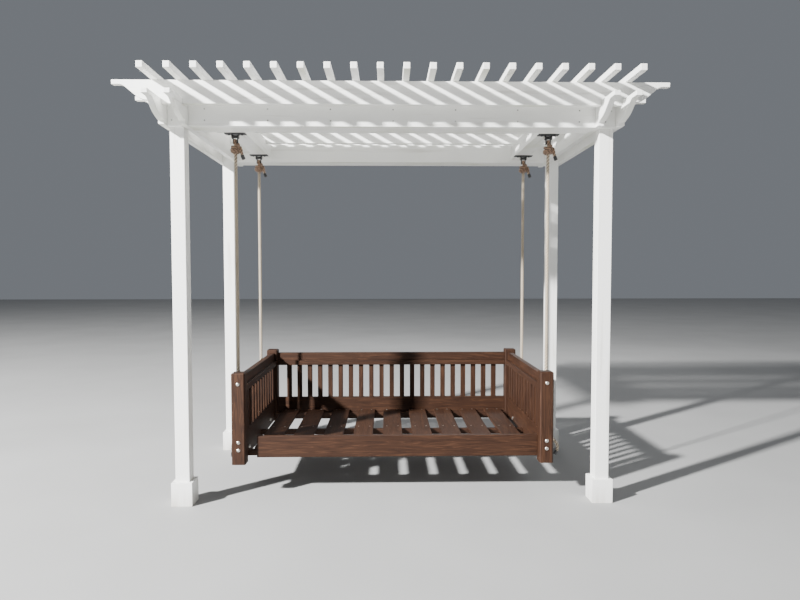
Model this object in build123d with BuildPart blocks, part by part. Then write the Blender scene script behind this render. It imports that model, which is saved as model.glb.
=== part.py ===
from build123d import *
from math import cos, radians, sin, tan
import os

os.makedirs("parts", exist_ok=True)

# Frame: origin on the floor at the centre of the four posts, +X right, +Y to the rear, +Z up

# Lumber sections
ply = 38.0
post_side = 89.0
board_depth = 140.0

# Posts and skirts, the posts clear of the bed's swing by a walk-in gap
walk_in_gap = 249.0
post_centre_y = 630.0
beam_top_z = 2526.0
skirt_wall = 22.0
skirt_height = 152.0
skirt_bevel = 5.0

# Side beams, one pair sandwiching the posts of each side
side_beam_overhang = 360.5
side_beam_nose = 28.0
side_beam_cove_radius = 45.0
side_beam_cove_turn = 34.0
side_beam_slope_run = 63.0
side_beam_sweep_radius = 200.0
side_beam_lip_slope = 16.0

# Coved ends of side beams and rafters: a flat under the nose, a cove, a slope, a sweep, a lip and a ledge
side_beam_end_flat = 62.0
rafter_end_flat = 42.0
end_lip_run = 52.0
end_ledge = 11.0

# Cross beams, three plies each
swing_beam_lift = 27.0
hanger_outset = 9.0
swing_beam_width = 114.0

# Rafters
rafter_front_overhang = 171.0
rafter_cross_beam_gap = 102.5
rafter_overhang = 254.0
rafter_count = 5
rafter_notch = 32.0
rafter_nose = 27.0
rafter_cove_radius = 60.0
rafter_cove_turn = 40.0
rafter_slope_run = 59.0
rafter_sweep_radius = 120.0
rafter_lip_slope = 10.0

# Shade slats
slat_count = 20
slat_rafter_margin = 255.0
slat_beam_overhang = 15.0

# Hanger brackets, yokes and ropes
rope_standoff = 25.5
rope_y = 385.0
bracket_plate = (140.0, 52.0, 6.0)
pivot_drop = 16.0
pivot_radius = 6.0
pivot_half_length = 25.0
bolt_head_radius = 10.0
bolt_head_thickness = 6.0
nut_corners = 6
running_clearance = 0.05
ear_radius = 14.0
ear_inner = 19.0
ear_thickness = 5.0
yoke_length = 37.0
yoke_radius = 11.0
yoke_inner = 12.0
yoke_thickness = 5.0
yoke_pin_radius = 5.0
yoke_pin_head = 2.0
strap_corners = 12
rope_radius = 10.0
rope_gap = 0.3
knot_height = 62.0
knot_radius = 37.0
knot_wraps = 3
knot_taper = 32.0
rope_sides = 8
bend_steps = 6
knot_gap = 1.0
tail_reach = 55.4
tail_drop = 70.9

# Lower rope ends on the bed
rope_bolt_rise = 56.0
rope_bolt_radius = 8.0
rope_bolt_washer_radius = 17.0
rope_bolt_washer = 4.0
rope_bolt_nut_radius = 13.0
rope_bolt_nut = 11.0
rope_bolt_reach = 40.0
loop_gap = 0.3
lower_knot_height = 56.0
lower_knot_radius = 30.0
lower_knot_offset = 14.0
lower_knot_rise = 24.0
lower_tail_offset = 22.0
lower_tail_steps = {
    "left": [(0.0, 0.0), (10.0, -50.0), (8.0, -124.0)],
    "right": [(0.0, 0.0), (38.0, -36.0), (52.0, -80.0), (30.0, -124.0)],
}

# Swinging bed
bed_half_width = 1050.0
bed_front_y = -600.0
bed_rear_y = 706.0
bed_base_z = 235.0
bed_post_rise = 28.0
bed_post_chamfer = 7.0
panel_rail_top_z = 807.0
panel_rail_height = 64.0
sub_rail_height = 38.0
sub_rail_projection = 19.0
low_board_depth = 184.0
low_board_top_z = 428.0
end_baluster_count = 12
end_baluster_margin = 22.5
back_baluster_count = 21
back_baluster_margin = 75.0
front_rail_base_z = 265.0
front_rail_left_gap = 61.0
front_rail_setback = 65.0
mattress_board_count = 9
mattress_board_margin = 39.0
mattress_board_thickness = 19.0
mattress_top_z = 324.0

# Positions that follow from the sizes above
beam_base_z = beam_top_z - board_depth
half_post = post_side / 2
half_ply = ply / 2
post_centre_x = bed_half_width + walk_in_gap + half_post
inner_beam_x = post_centre_x - half_post - half_ply
outer_beam_x = post_centre_x + half_post + half_ply
inner_face_x = inner_beam_x - half_ply
cross_ply_offset = half_post + half_ply
cross_inner_face_y = post_centre_y - half_post - ply
cross_outer_face_y = post_centre_y + half_post + ply
side_beam_half_length = post_centre_y + half_post + side_beam_overhang
rafter_half_length = outer_beam_x + half_ply + rafter_overhang
rafter_first_y = -(post_centre_y + rafter_front_overhang)
rafter_second_y = -(cross_inner_face_y - rafter_cross_beam_gap)
rafter_last_y = cross_outer_face_y + half_ply
rafter_pitch = (rafter_last_y - rafter_second_y) / (rafter_count - 2)
rafter_y = [rafter_first_y] + [rafter_second_y + step * rafter_pitch for step in range(rafter_count - 1)]
slat_pitch = 2 * (rafter_half_length - slat_rafter_margin) / (slat_count - 1)
slat_half_length = side_beam_half_length + slat_beam_overhang
rafter_base_z = beam_top_z - rafter_notch
rafter_top_z = rafter_base_z + board_depth
notch_length = 2 * ply
half_width_to_post = bed_half_width - half_post
board_outer_x = half_width_to_post + half_ply
side_board_inner_x = half_width_to_post - half_ply
rope_x = board_outer_x + rope_standoff
swing_beam_x = rope_x - hanger_outset
bracket_top_z = beam_base_z + swing_beam_lift
bracket_base_z = bracket_top_z - bracket_plate[2]
pivot_z = bracket_base_z - pivot_drop
yoke_pin_z = pivot_z - yoke_length
eye_radius = yoke_pin_radius + rope_gap + rope_radius
knot_top_z = yoke_pin_z - yoke_radius - knot_gap
knot_mid_z = knot_top_z - knot_height / 2
loop_radius = rope_bolt_radius + loop_gap + rope_radius
low_board_base_z = low_board_top_z - low_board_depth
rope_bolt_z = low_board_base_z + rope_bolt_rise
lower_knot_mid_z = rope_bolt_z + lower_knot_rise + lower_knot_height / 2
front_post_y = bed_front_y + half_post
rear_post_y = bed_rear_y - half_post
panel_front_y = bed_front_y + post_side
panel_rear_y = bed_rear_y - post_side
panel_length = panel_rear_y - panel_front_y
panel_mid_y = (panel_front_y + panel_rear_y) / 2
back_panel_half = bed_half_width - post_side
bed_post_top_z = panel_rail_top_z + bed_post_rise
sub_rail_top_z = panel_rail_top_z - panel_rail_height
sub_rail_base_z = sub_rail_top_z - sub_rail_height
front_rail_front_y = bed_front_y + front_rail_setback
front_rail_back_y = front_rail_front_y + ply
back_panel_face_y = rear_post_y - half_ply
sides = {"left": -1, "right": 1}
ends = {"front": -1, "rear": 1}


# Posts, each with a boxed skirt at its foot
for end, end_sign in ends.items():
    for side, side_sign in sides.items():
        with BuildPart() as post:
            with BuildSketch(Plane.XY):
                with Locations((side_sign * post_centre_x, end_sign * post_centre_y)):
                    Rectangle(post_side, post_side)
            extrude(amount=beam_top_z)
        post.part.label = f"post_{end}_{side}"
        export_step(post.part, f"parts/post_{end}_{side}.step")

post_grid = GridLocations(2 * post_centre_x, 2 * post_centre_y, 2, 2)
skirt_side = post_side + 2 * skirt_wall

with BuildPart() as post_skirts:
    with BuildSketch(Plane.XY):
        with post_grid:
            Rectangle(skirt_side, skirt_side)
            Rectangle(post_side, post_side, mode=Mode.SUBTRACT)
    extrude(amount=skirt_height)
    skirt_tops = post_skirts.faces().group_by(Axis.Z)[-1]
    outer_edges = [edge for top in skirt_tops for edge in top.outer_wire().edges()]
    chamfer(outer_edges, length=skirt_bevel)
post_skirts.part.label = "post_skirts"
export_step(post_skirts.part, "parts/post_skirts.step")


# Half way point and end of an arc that turns a falling slope, walked inward and down
def arc_points(start, slope, turn, radius):
    bend = radius if turn > 0 else -radius
    points = []
    for reached in (slope + turn / 2, slope + turn):
        run = bend * (sin(radians(reached)) - sin(radians(slope)))
        drop = bend * (cos(radians(slope)) - cos(radians(reached)))
        points.append((start[0] - run, start[1] - drop))
    return points


# End of a straight fall of a given slope
def fall_point(start, run, slope):
    return (start[0] - run, start[1] - run * tan(radians(slope)))


# Coved timber along one axis, both ends alike, with notches in its underside
def coved_timber(name, plane, mirror_plane, tip, base_z, nose, cove, notches):
    flat, cove_radius, cove_turn, slope_run, sweep_radius, lip_slope = cove
    top_z = base_z + board_depth
    flat_end = (tip - flat, top_z - nose)
    cove_mid, cove_end = arc_points(flat_end, 0, cove_turn, cove_radius)
    slope_end = fall_point(cove_end, slope_run, cove_turn)
    sweep_mid, sweep_end = arc_points(slope_end, cove_turn, lip_slope - cove_turn, sweep_radius)
    lip_end = fall_point(sweep_end, end_lip_run, lip_slope)
    with BuildPart() as timber:
        with BuildSketch(plane):
            with BuildLine():
                Polyline((0, base_z), (0, top_z), (tip, top_z), (tip, flat_end[1]), flat_end)
                ThreePointArc(flat_end, cove_mid, cove_end)
                Line(cove_end, slope_end)
                ThreePointArc(slope_end, sweep_mid, sweep_end)
                Polyline(
                    sweep_end,
                    lip_end,
                    (lip_end[0] - end_ledge, lip_end[1]),
                    (lip_end[0] - end_ledge, base_z),
                    (0, base_z),
                )
            make_face()
        extrude(amount=half_ply, both=True)
        mirror(about=mirror_plane)
        if notches:
            with BuildSketch(Plane.XY.offset(base_z)):
                for x, y, width in notches:
                    with Locations((x, y)):
                        Rectangle(width, notch_length)
            extrude(amount=rafter_notch, mode=Mode.SUBTRACT)
    timber.part.label = name
    export_step(timber.part, f"parts/{name}.step")


# Side beams, a pair on each side
side_beam_cove = (
    side_beam_end_flat,
    side_beam_cove_radius,
    side_beam_cove_turn,
    side_beam_slope_run,
    side_beam_sweep_radius,
    side_beam_lip_slope,
)

for side, side_sign in sides.items():
    for layer, beam_x in {"inner": inner_beam_x, "outer": outer_beam_x}.items():
        coved_timber(
            f"side_beam_{side}_{layer}",
            Plane.YZ.offset(side_sign * beam_x),
            Plane.XZ,
            side_beam_half_length,
            beam_base_z,
            side_beam_nose,
            side_beam_cove,
            [],
        )


# Cross beams between the inner side beams, three plies deep
def cross_ply(name, centre_y, thickness):
    with BuildPart() as member:
        with BuildSketch(Plane.XY.offset(beam_base_z)):
            with Locations((0, centre_y)):
                Rectangle(2 * inner_face_x, thickness)
        extrude(amount=board_depth)
    member.part.label = name
    export_step(member.part, f"parts/{name}.step")


for end, end_sign in ends.items():
    cross_ply(f"cross_beam_{end}_outer", end_sign * (post_centre_y + cross_ply_offset), ply)
    cross_ply(f"cross_beam_{end}_core", end_sign * post_centre_y, post_side)
    cross_ply(f"cross_beam_{end}_inner", end_sign * (post_centre_y - cross_ply_offset), ply)

# Spacer blocks between each pair of side beams, outside each post
with BuildPart() as spacer_blocks:
    with BuildSketch(Plane.XY.offset(beam_base_z)):
        with GridLocations(2 * post_centre_x, 2 * (post_centre_y + cross_ply_offset), 2, 2):
            Rectangle(post_side, ply)
    extrude(amount=board_depth)
spacer_blocks.part.label = "spacer_blocks"
export_step(spacer_blocks.part, "parts/spacer_blocks.step")

# Swing beams that carry the hangers, flush with the beam tops
for side, side_sign in sides.items():
    with BuildPart() as swing_beam:
        with BuildSketch(Plane.XY.offset(bracket_top_z)):
            with Locations((side_sign * swing_beam_x, 0)):
                Rectangle(swing_beam_width, 2 * cross_inner_face_y)
        extrude(amount=board_depth - swing_beam_lift)
    swing_beam.part.label = f"swing_beam_{side}"
    export_step(swing_beam.part, f"parts/swing_beam_{side}.step")


# Rafters notched over the side beams and, between the cross beams, over the swing beams too
rafter_cove = (
    rafter_end_flat,
    rafter_cove_radius,
    rafter_cove_turn,
    rafter_slope_run,
    rafter_sweep_radius,
    rafter_lip_slope,
)

for index, centre_y in enumerate(rafter_y):
    crossed = [(inner_beam_x, ply), (outer_beam_x, ply)]
    if abs(centre_y) < cross_inner_face_y:
        crossed.append((swing_beam_x, swing_beam_width))
    coved_timber(
        f"rafter_{index + 1}",
        Plane.XZ.offset(-centre_y),
        Plane.YZ,
        rafter_half_length,
        rafter_base_z,
        rafter_nose,
        rafter_cove,
        [(side_sign * beam_x, centre_y, width) for beam_x, width in crossed for side_sign in sides.values()],
    )

# Shade slats across the rafters
with BuildPart() as shade_slats:
    with BuildSketch(Plane.XY.offset(rafter_top_z)):
        with GridLocations(slat_pitch, 1, slat_count, 1):
            Rectangle(ply, 2 * slat_half_length)
    extrude(amount=ply)
shade_slats.part.label = "shade_slats"
export_step(shade_slats.part, "parts/shade_slats.step")

# Hanger brackets under the swing beams: plate with two ears
hanger_places = [(x, y) for y in (-rope_y, rope_y) for x in (-rope_x, rope_x)]

with BuildPart() as hanger_brackets:
    with BuildSketch(Plane.XY.offset(bracket_base_z)):
        with Locations(*hanger_places):
            Rectangle(bracket_plate[0], bracket_plate[1])
    extrude(amount=bracket_plate[2])
    for x, y in hanger_places:
        for ear_x in (x - ear_inner - ear_thickness, x + ear_inner):
            with BuildSketch(Plane.YZ.offset(ear_x)):
                with Locations((y, pivot_z)):
                    RegularPolygon(ear_radius, strap_corners, major_radius=False)
                with Locations((y, (pivot_z + bracket_base_z) / 2)):
                    Rectangle(2 * ear_radius, pivot_drop)
                with Locations((y, pivot_z)):
                    Circle(pivot_radius, mode=Mode.SUBTRACT)
            extrude(amount=ear_thickness)
hanger_brackets.part.label = "hanger_brackets"
export_step(hanger_brackets.part, "parts/hanger_brackets.step")

# Pivot bolts through the ears
with BuildPart() as pivot_bolts:
    for x, y in hanger_places:
        with BuildSketch(Plane.YZ.offset(x)):
            with Locations((y, pivot_z)):
                Circle(pivot_radius)
        extrude(amount=pivot_half_length, both=True)
        for head_x in (x - ear_inner - ear_thickness - bolt_head_thickness, x + ear_inner + ear_thickness):
            with BuildSketch(Plane.YZ.offset(head_x)):
                with Locations((y, pivot_z)):
                    RegularPolygon(bolt_head_radius, nut_corners)
            extrude(amount=bolt_head_thickness)
pivot_bolts.part.label = "pivot_bolts"
export_step(pivot_bolts.part, "parts/pivot_bolts.step")


# Yokes: two straps on the pivot bolt joined by a lower pin
def yoke_pair(name, y):
    with BuildPart() as yokes:
        for x in (-rope_x, rope_x):
            for strap_x in (x - yoke_inner - yoke_thickness, x + yoke_inner):
                with BuildSketch(Plane.YZ.offset(strap_x)):
                    with Locations((y, pivot_z), (y, yoke_pin_z)):
                        RegularPolygon(yoke_radius, strap_corners, major_radius=False)
                    with Locations((y, (pivot_z + yoke_pin_z) / 2)):
                        Rectangle(2 * yoke_radius, yoke_length)
                    with Locations((y, pivot_z)):
                        Circle(pivot_radius + running_clearance, mode=Mode.SUBTRACT)
                extrude(amount=yoke_thickness)
            with BuildSketch(Plane.YZ.offset(x)):
                with Locations((y, yoke_pin_z)):
                    RegularPolygon(yoke_pin_radius, strap_corners)
            extrude(amount=yoke_inner + yoke_thickness + yoke_pin_head, both=True)
    yokes.part.label = name
    export_step(yokes.part, f"parts/{name}.step")


# Rope centre lines: the bend over a pin, and a tail that leaves a knot in straight steps
def eye_path(x, y, pin_z, leg_z, bend_radius, up):
    corner = bend_radius / cos(radians(90 / bend_steps))
    turns = [180 * (step + 0.5) / bend_steps for step in range(bend_steps)]
    bend = [(x, y - corner * cos(radians(turn)), pin_z + up * corner * sin(radians(turn))) for turn in turns]
    return [(x, y - bend_radius, leg_z)] + bend + [(x, y + bend_radius, leg_z)]


def tail_path(x, y, z, side_sign, steps):
    return [(x + side_sign * out, y, z + rise) for out, rise in steps]


# Ropes: an eye over the yoke pin, a knot, the long drop, a lower knot and a loop round the bed's bolt
def rope(name, side, y):
    side_sign = sides[side]
    x = side_sign * rope_x
    lower_x = x + side_sign * lower_knot_offset
    runs = [
        [(x, y, knot_mid_z), (x, y, lower_knot_mid_z)],
        eye_path(x, y, yoke_pin_z, knot_mid_z, eye_radius, 1),
        eye_path(x, y, rope_bolt_z, lower_knot_mid_z, loop_radius, -1),
        tail_path(x, y, knot_mid_z, 1, [(0, 0), (tail_reach, -tail_drop)]),
        tail_path(lower_x + side_sign * lower_tail_offset, y, lower_knot_mid_z, side_sign, lower_tail_steps[side]),
    ]
    knots = [
        (x, knot_mid_z, knot_height, knot_radius),
        (lower_x, lower_knot_mid_z, lower_knot_height, lower_knot_radius),
    ]
    with BuildPart() as line:
        for points in runs:
            with BuildLine() as path:
                Polyline(*points)
            with BuildSketch(path.line ^ 0):
                RegularPolygon(rope_radius, rope_sides, major_radius=False, rotation=180 / rope_sides)
            sweep(path=path.line, transition=Transition.RIGHT)
        for knot_x, mid_z, height, radius in knots:
            wrap = height / (2 * knot_wraps)
            for level in range(knot_wraps):
                with BuildSketch(Plane.XY.offset(mid_z + (2 * level + 1 - knot_wraps) * wrap)):
                    with Locations((knot_x, y)):
                        RegularPolygon(radius, rope_sides, rotation=180 / rope_sides)
                extrude(amount=wrap, both=True, taper=knot_taper)
    line.part.label = name
    export_step(line.part, f"parts/{name}.step")


for end, end_sign in ends.items():
    yoke_pair(f"yokes_{end}", end_sign * rope_y)
    for side in sides:
        rope(f"rope_{end}_{side}", side, end_sign * rope_y)

# Bed corner posts with chamfered edges and tops
for end, centre_y in {"front": front_post_y, "rear": rear_post_y}.items():
    for side, side_sign in sides.items():
        with BuildPart() as bed_post:
            with BuildSketch(Plane.XY.offset(bed_base_z)):
                with Locations((side_sign * half_width_to_post, centre_y)):
                    Rectangle(post_side, post_side)
            extrude(amount=bed_post_top_z - bed_base_z)
            chamfer(bed_post.edges().filter_by(Axis.Z), length=bed_post_chamfer)
            chamfer(bed_post.faces().sort_by(Axis.Z)[-1].edges(), length=bed_post_chamfer)
        bed_post.part.label = f"bed_post_{end}_{side}"
        export_step(bed_post.part, f"parts/bed_post_{end}_{side}.step")

baluster_height = sub_rail_base_z - low_board_top_z
end_baluster_pitch = (panel_length - 2 * end_baluster_margin - ply) / (end_baluster_count - 1)
back_baluster_pitch = (2 * back_panel_half - 2 * back_baluster_margin - ply) / (back_baluster_count - 1)

# Bed end panels: top rail, inner sub-rail, balusters and a low board drilled for the rope bolts
for side, side_sign in sides.items():
    with BuildPart() as end_panel:
        with BuildSketch(Plane.YZ.offset(side_sign * half_width_to_post)):
            with Locations((panel_mid_y, panel_rail_top_z - (panel_rail_height + sub_rail_height) / 2)):
                Rectangle(panel_length, panel_rail_height + sub_rail_height)
            with Locations((panel_mid_y, low_board_top_z - low_board_depth / 2)):
                Rectangle(panel_length, low_board_depth)
            with Locations((panel_mid_y, low_board_top_z + baluster_height / 2)):
                with GridLocations(end_baluster_pitch, 1, end_baluster_count, 1):
                    Rectangle(ply, baluster_height)
            with Locations((-rope_y, rope_bolt_z), (rope_y, rope_bolt_z)):
                Circle(rope_bolt_radius, mode=Mode.SUBTRACT)
        extrude(amount=half_ply, both=True)
        with BuildSketch(Plane.YZ.offset(side_sign * (half_width_to_post - half_ply - sub_rail_projection / 2))):
            with Locations((panel_mid_y, sub_rail_top_z - sub_rail_height / 2)):
                Rectangle(panel_length, sub_rail_height)
        extrude(amount=sub_rail_projection / 2, both=True)
    end_panel.part.label = f"bed_end_panel_{side}"
    export_step(end_panel.part, f"parts/bed_end_panel_{side}.step")

# Bed back panel, the same build across the rear
with BuildPart() as back_panel:
    with BuildSketch(Plane.XZ.offset(-rear_post_y)):
        with Locations((0, panel_rail_top_z - (panel_rail_height + sub_rail_height) / 2)):
            Rectangle(2 * back_panel_half, panel_rail_height + sub_rail_height)
        with Locations((0, low_board_top_z - low_board_depth / 2)):
            Rectangle(2 * back_panel_half, low_board_depth)
        with Locations((0, low_board_top_z + baluster_height / 2)):
            with GridLocations(back_baluster_pitch, 1, back_baluster_count, 1):
                Rectangle(ply, baluster_height)
    extrude(amount=half_ply, both=True)
    with BuildSketch(Plane.XZ.offset(-(back_panel_face_y - sub_rail_projection / 2))):
        with Locations((0, sub_rail_top_z - sub_rail_height / 2)):
            Rectangle(2 * back_panel_half, sub_rail_height)
    extrude(amount=sub_rail_projection / 2, both=True)
back_panel.part.label = "bed_back_panel"
export_step(back_panel.part, "parts/bed_back_panel.step")

# Bed front rail, short of the left post by a hand's width
front_rail_left_x = -back_panel_half + front_rail_left_gap
front_rail_length = back_panel_half - front_rail_left_x

with BuildPart() as front_rail:
    with BuildSketch(Plane.XY.offset(front_rail_base_z)):
        with Locations(((front_rail_left_x + back_panel_half) / 2, front_rail_front_y + half_ply)):
            Rectangle(front_rail_length, ply)
    extrude(amount=board_depth)
front_rail.part.label = "bed_front_rail"
export_step(front_rail.part, "parts/bed_front_rail.step")

# Bearers under the mattress boards: one behind the front rail, one mid, one before the back panel
bearer_top_z = mattress_top_z - mattress_board_thickness
bearer_y = (front_rail_back_y + half_ply, panel_mid_y, back_panel_face_y - half_ply)

with BuildPart() as bed_bearers:
    with BuildSketch(Plane.XY.offset(bearer_top_z - ply)):
        with Locations(*[(0, y) for y in bearer_y]):
            Rectangle(2 * side_board_inner_x, ply)
    extrude(amount=ply)
    with BuildSketch(Plane.XY.offset(bearer_top_z - ply)):
        with Locations((-half_width_to_post, rear_post_y), (half_width_to_post, rear_post_y)):
            Rectangle(post_side, post_side)
    extrude(amount=ply, mode=Mode.SUBTRACT)
bed_bearers.part.label = "bed_bearers"
export_step(bed_bearers.part, "parts/bed_bearers.step")

# Mattress boards laid front to back on the bearers
mattress_board_pitch = (2 * back_panel_half - 2 * mattress_board_margin - board_depth) / (mattress_board_count - 1)

with BuildPart() as mattress_boards:
    with BuildSketch(Plane.XY.offset(bearer_top_z)):
        with Locations((0, (front_rail_back_y + back_panel_face_y) / 2)):
            with GridLocations(mattress_board_pitch, 1, mattress_board_count, 1):
                Rectangle(board_depth, back_panel_face_y - front_rail_back_y)
    extrude(amount=mattress_board_thickness)
mattress_boards.part.label = "mattress_boards"
export_step(mattress_boards.part, "parts/mattress_boards.step")

# Rope bolts through the side boards, with washers and nuts, carrying the rope loops outside
rope_bolt_end_x = board_outer_x + rope_bolt_reach + rope_bolt_nut

with BuildPart() as rope_bolts:
    for side_sign in sides.values():
        for y in (-rope_y, rope_y):
            shank_mid_x = (side_board_inner_x + rope_bolt_end_x) / 2
            with BuildSketch(Plane.YZ.offset(side_sign * shank_mid_x)):
                with Locations((y, rope_bolt_z)):
                    Circle(rope_bolt_radius)
            extrude(amount=rope_bolt_end_x - shank_mid_x, both=True)
            collars = [
                (side_board_inner_x - rope_bolt_nut / 2, rope_bolt_nut, rope_bolt_nut_radius, nut_corners),
                (board_outer_x + rope_bolt_washer / 2, rope_bolt_washer, rope_bolt_washer_radius, strap_corners),
                (rope_bolt_end_x - rope_bolt_nut / 2, rope_bolt_nut, rope_bolt_nut_radius, nut_corners),
            ]
            for mid_x, thickness, radius, corners in collars:
                with BuildSketch(Plane.YZ.offset(side_sign * mid_x)):
                    with Locations((y, rope_bolt_z)):
                        RegularPolygon(radius, corners)
                extrude(amount=thickness / 2, both=True)
rope_bolts.part.label = "rope_bolts"
export_step(rope_bolts.part, "parts/rope_bolts.step")
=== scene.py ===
"""Looks of a white timber pergola with a rope-hung swing bed under its rafters."""

import logging
import math
import random
from collections.abc import Sequence
from dataclasses import dataclass, field
from enum import Enum

import bmesh
import bpy
from mathutils import Matrix, Vector
from mathutils.kdtree import KDTree

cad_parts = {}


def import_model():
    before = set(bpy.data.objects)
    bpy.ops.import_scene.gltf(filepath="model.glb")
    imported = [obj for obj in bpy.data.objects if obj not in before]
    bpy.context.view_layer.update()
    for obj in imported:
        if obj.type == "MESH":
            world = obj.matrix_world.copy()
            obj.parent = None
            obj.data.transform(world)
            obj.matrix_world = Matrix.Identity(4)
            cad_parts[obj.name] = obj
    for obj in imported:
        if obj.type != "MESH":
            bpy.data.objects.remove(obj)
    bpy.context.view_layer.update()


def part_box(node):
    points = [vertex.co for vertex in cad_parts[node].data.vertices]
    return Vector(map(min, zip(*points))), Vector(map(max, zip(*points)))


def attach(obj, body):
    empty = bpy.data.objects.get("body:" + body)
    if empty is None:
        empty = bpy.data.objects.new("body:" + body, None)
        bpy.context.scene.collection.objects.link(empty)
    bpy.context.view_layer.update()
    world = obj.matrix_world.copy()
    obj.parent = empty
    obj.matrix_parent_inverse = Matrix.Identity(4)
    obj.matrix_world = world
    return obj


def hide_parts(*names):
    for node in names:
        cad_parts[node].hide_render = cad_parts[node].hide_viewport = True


LOG = logging.getLogger("pergola")
ENDS = {"front": -1.0, "rear": 1.0}
SIDES = {"left": -1.0, "right": 1.0}
WELD_DISTANCE = 0.00001
WRAP_STEPS = 12

Pair = tuple[float, float]
Triple = tuple[float, float, float]
VectorPairs = list[tuple[Vector, Vector]]
Faces = set[bmesh.types.BMFace]
Socket = bpy.types.NodeSocket
Inputs = dict[str | int, Socket | float | tuple[float, ...]]
Material = bpy.types.Material


class Grain(Enum):
    """Direction in which a board's grain runs."""

    X = 0
    Y = 1
    Z = 2

    def stretch(self, across: float, along: float) -> Triple:
        """Pattern scale that is `along` on the grain's axis and `across` on the others."""
        return tuple(along if axis == self.value else across for axis in range(3))


class NodeGraph:
    """A material under construction, with short calls for its usual nodes."""

    tone_shift: Triple = (7.3, 11.9, 5.1)

    def __init__(self, name: str, by_board: bool = True) -> None:
        """Start a material with only a surface shader and an output.

        Args:
            name: Name of the material.
            by_board: Whether each board's own tone moves the patterns.
        """
        self.material = bpy.data.materials.new(name)
        self.material.use_nodes = True
        self.tree = self.material.node_tree
        self.tree.nodes.clear()
        self.by_board = by_board
        self.shader = self.add("ShaderNodeBsdfPrincipled")
        self.add("ShaderNodeOutputMaterial", {"Surface": self.shader.outputs["BSDF"]})

    def add(self, kind: str, inputs: Inputs | None = None, **settings: object) -> bpy.types.Node:
        """Add a node, set its properties and feed its inputs.

        Args:
            kind: Name of the node type.
            inputs: Socket or constant for each input, by name or number.
            **settings: Properties to set on the node.

        Returns:
            The new node.
        """
        node = self.tree.nodes.new(kind)
        for key, value in settings.items():
            setattr(node, key, value)
        self.feed(node, inputs or {})
        return node

    def feed(self, node: bpy.types.Node, inputs: Inputs) -> None:
        """Link a node's inputs to sockets or set them to constants.

        Args:
            node: The node.
            inputs: Socket or constant for each input, by name or number.
        """
        for key, value in inputs.items():
            if isinstance(value, bpy.types.NodeSocket):
                self.tree.links.new(value, node.inputs[key])
            else:
                node.inputs[key].default_value = value

    def noise(self, scale: float | Triple, detail: float, rough: float = 0.6, warp: float = 0.0) -> Socket:
        """Noise on the piece's own coordinates.

        Args:
            scale: Pattern scale, one for all axes or one for each.
            detail: Octaves of finer noise.
            rough: Strength of each finer octave.
            warp: Distortion of the pattern.

        Returns:
            The noise value, from 0 to 1.
        """
        place = self.add("ShaderNodeTexCoord").outputs["Object"]
        if self.by_board:
            tone = self.attribute("board_tone")
            shift = self.add("ShaderNodeVectorMath", {0: self.tone_shift, "Scale": tone}, operation="SCALE")
            moved = self.add("ShaderNodeVectorMath", {0: place, 1: shift.outputs[0]}, operation="ADD")
            place = moved.outputs[0]
        axes = scale if isinstance(scale, tuple) else (scale, scale, scale)
        place = self.add("ShaderNodeMapping", {"Scale": axes, "Vector": place}).outputs["Vector"]
        levels = {"Scale": 1.0, "Detail": detail, "Roughness": rough, "Distortion": warp, "Vector": place}
        return self.add("ShaderNodeTexNoise", levels).outputs["Fac"]

    def ramp(self, value: Socket, *stops: tuple[float, Triple]) -> Socket:
        """Colours read along a value.

        Args:
            value: Where on the ramp each point reads.
            *stops: Places and linear colours of the ramp.

        Returns:
            The colour.
        """
        node = self.add("ShaderNodeValToRGB", {"Fac": value})
        ramp = node.color_ramp
        while len(ramp.elements) < len(stops):
            ramp.elements.new(0.5)
        for element, (place, colour) in zip(ramp.elements, stops):
            element.position = place
            element.color = (*colour, 1.0)
        return node.outputs["Color"]

    def span(self, value: Socket, source: Pair, target: Pair) -> Socket:
        """Map the range `source` of a value to the range `target`, clamped."""
        limits = dict(zip(("From Min", "From Max", "To Min", "To Max"), (*source, *target)))
        return self.add("ShaderNodeMapRange", {"Value": value, **limits}).outputs["Result"]

    def calc(self, operation: str, first: Socket, second: Socket | float) -> Socket:
        """One step of arithmetic on two values."""
        return self.add("ShaderNodeMath", {0: first, 1: second}, operation=operation).outputs[0]

    def blend(self, share: Socket, under: Socket, over: Triple) -> Socket:
        """Lay the linear colour `over` on the colour `under` by a share."""
        inputs = {"Factor": share, "A": under, "B": (*over, 1.0)}
        return self.add("ShaderNodeMix", inputs, data_type="RGBA").outputs["Result"]

    def attribute(self, name: str) -> Socket:
        """Number stored on the mesh under a name."""
        return self.add("ShaderNodeAttribute", attribute_name=name).outputs["Fac"]

    def along(self, axis: str, kind: str) -> Socket:
        """One axis of the surface's place in metres, for kind `Object`, or of its facing, for `Normal`."""
        coords = self.add("ShaderNodeTexCoord").outputs[kind]
        return self.add("ShaderNodeSeparateXYZ", {0: coords}).outputs[axis]

    def finish(self, surface: Inputs, relief: tuple[Socket, float, float] | None = None) -> Material:
        """Feed the surface shader and raise the surface by a height pattern.

        Args:
            surface: Socket or constant for each of the shader's inputs.
            relief: Height pattern from 0 to 1, share of it that shows, and depth in metres.

        Returns:
            The finished material.
        """
        if relief:
            bump = self.add("ShaderNodeBump", dict(zip(("Height", "Strength", "Distance"), relief)))
            surface = {**surface, "Normal": bump.outputs["Normal"]}
        self.feed(self.shader, surface)
        return self.material


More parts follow.
